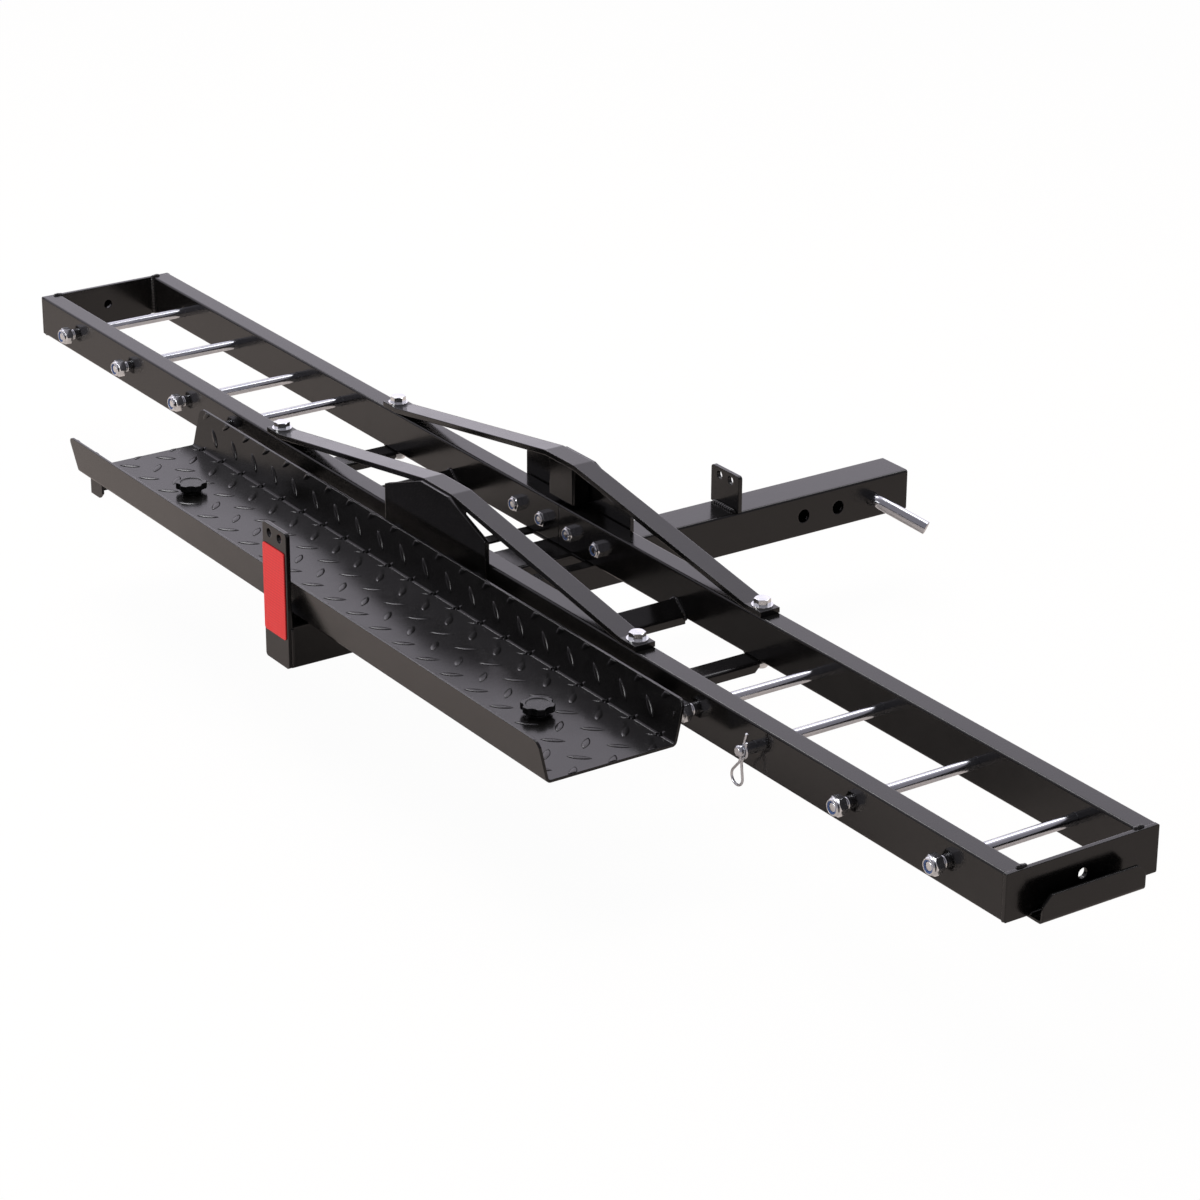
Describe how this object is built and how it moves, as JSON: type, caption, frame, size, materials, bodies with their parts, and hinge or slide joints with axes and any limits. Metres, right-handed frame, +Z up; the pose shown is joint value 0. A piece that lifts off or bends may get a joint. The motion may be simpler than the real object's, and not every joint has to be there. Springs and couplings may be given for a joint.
{
  "type": "hitch motorcycle carrier",
  "caption": "Receiver-hitch motorcycle carrier: a ladder-like wheel track bolted across a square hitch bar, with arched braces, a stowed channel ramp, star knobs and retaining pins.",
  "frame": {"origin": "middle of the hitch pin hole, on the axis of the square hitch bar", "axes": "+X along the wheel track towards its right-hand end, +Y forwards into the receiver, +Z up"},
  "size_m": [1.976, 0.8476, 0.1656],
  "materials": {
    "powder_coat": "semi-gloss black powder coat",
    "zinc_plate": "bright zinc plate",
    "nylon_ring": "satin nylon",
    "knob_plastic": "satin moulded plastic",
    "reflector_film": "prismatic red reflector film"
  },
  "bodies": {
    "carrier": {"hitch_bar": "powder_coat", "saddle_plate": "powder_coat", "light_bracket": "powder_coat", "rear_plate": "powder_coat", "rail_front_left": "powder_coat", "rail_front_right": "powder_coat", "rail_back_left": "powder_coat", "rail_back_right": "powder_coat", "end_plate_left": "powder_coat", "end_plate_right": "powder_coat", "end_hook_left": "powder_coat", "end_hook_right": "powder_coat", "gusset_front": "powder_coat", "gusset_back": "powder_coat", "spacer_front": "powder_coat", "spacer_back": "powder_coat", "arch_strap_front": "powder_coat", "arch_strap_back": "powder_coat", "cross_tie_left": "powder_coat", "cross_tie_right": "powder_coat", "support_bar_left": "powder_coat", "support_bar_right": "powder_coat", "arch_bolts": "zinc_plate", "arch_washers": "zinc_plate", "arch_nuts": "zinc_plate", "splice_bolts": "zinc_plate", "splice_nuts": "zinc_plate", "rung_bolts": "zinc_plate", "rung_nuts": "zinc_plate", "knob_weld_nuts": "zinc_plate", "splice_nut_rings": "nylon_ring", "rung_nut_rings": "nylon_ring", "reflector": "reflector_film"},
    "ramp": {"ramp": "powder_coat", "ramp_tread": "powder_coat", "ramp_hook": "powder_coat"},
    "knob_washer_left": {"knob_washer_left": "knob_plastic"},
    "knob_left": {"knob_left": "knob_plastic", "knob_stud_left": "zinc_plate"},
    "knob_washer_right": {"knob_washer_right": "knob_plastic"},
    "knob_right": {"knob_right": "knob_plastic", "knob_stud_right": "zinc_plate"},
    "hitch_pin": {"hitch_pin": "zinc_plate", "hitch_clip": "zinc_plate"},
    "wheel_pin": {"wheel_pin": "zinc_plate", "wheel_clip": "zinc_plate"}
  },
  "joints": [
    {"name": "ramp_lift", "type": "slide", "parent": "carrier", "child": "ramp", "axis": [0, 0, 1], "range_m": [0, 0.15]},
    {"name": "knob_left_rise", "type": "slide", "parent": "ramp", "child": "knob_washer_left", "axis": [0, 0, 1], "range_m": [0, 0.012]},
    {"name": "knob_left_turn", "type": "hinge", "parent": "knob_washer_left", "child": "knob_left", "pos_m": [-0.366, -0.69665, 0.04], "axis": [0, 0, 1], "range_deg": [0, 2880]},
    {"name": "knob_right_rise", "type": "slide", "parent": "ramp", "child": "knob_washer_right", "axis": [0, 0, 1], "range_m": [0, 0.012]},
    {"name": "knob_right_turn", "type": "hinge", "parent": "knob_washer_right", "child": "knob_right", "pos_m": [0.366, -0.69665, 0.04], "axis": [0, 0, 1], "range_deg": [0, 2880]},
    {"name": "hitch_pin_turn", "type": "hinge", "parent": "carrier", "child": "hitch_pin", "pos_m": [0, 0, 0], "axis": [1, 0, 0], "continuous": true},
    {"name": "wheel_pin_turn", "type": "hinge", "parent": "carrier", "child": "wheel_pin", "pos_m": [0.586, -0.495, 0.053], "axis": [0, 1, 0], "continuous": true}
  ],
  "couplings": [
    {"joint": "knob_left_rise", "follows": "knob_left_turn", "m_per_rad": 0.00023873},
    {"joint": "knob_right_rise", "follows": "knob_right_turn", "m_per_rad": 0.00023873}
  ]
}
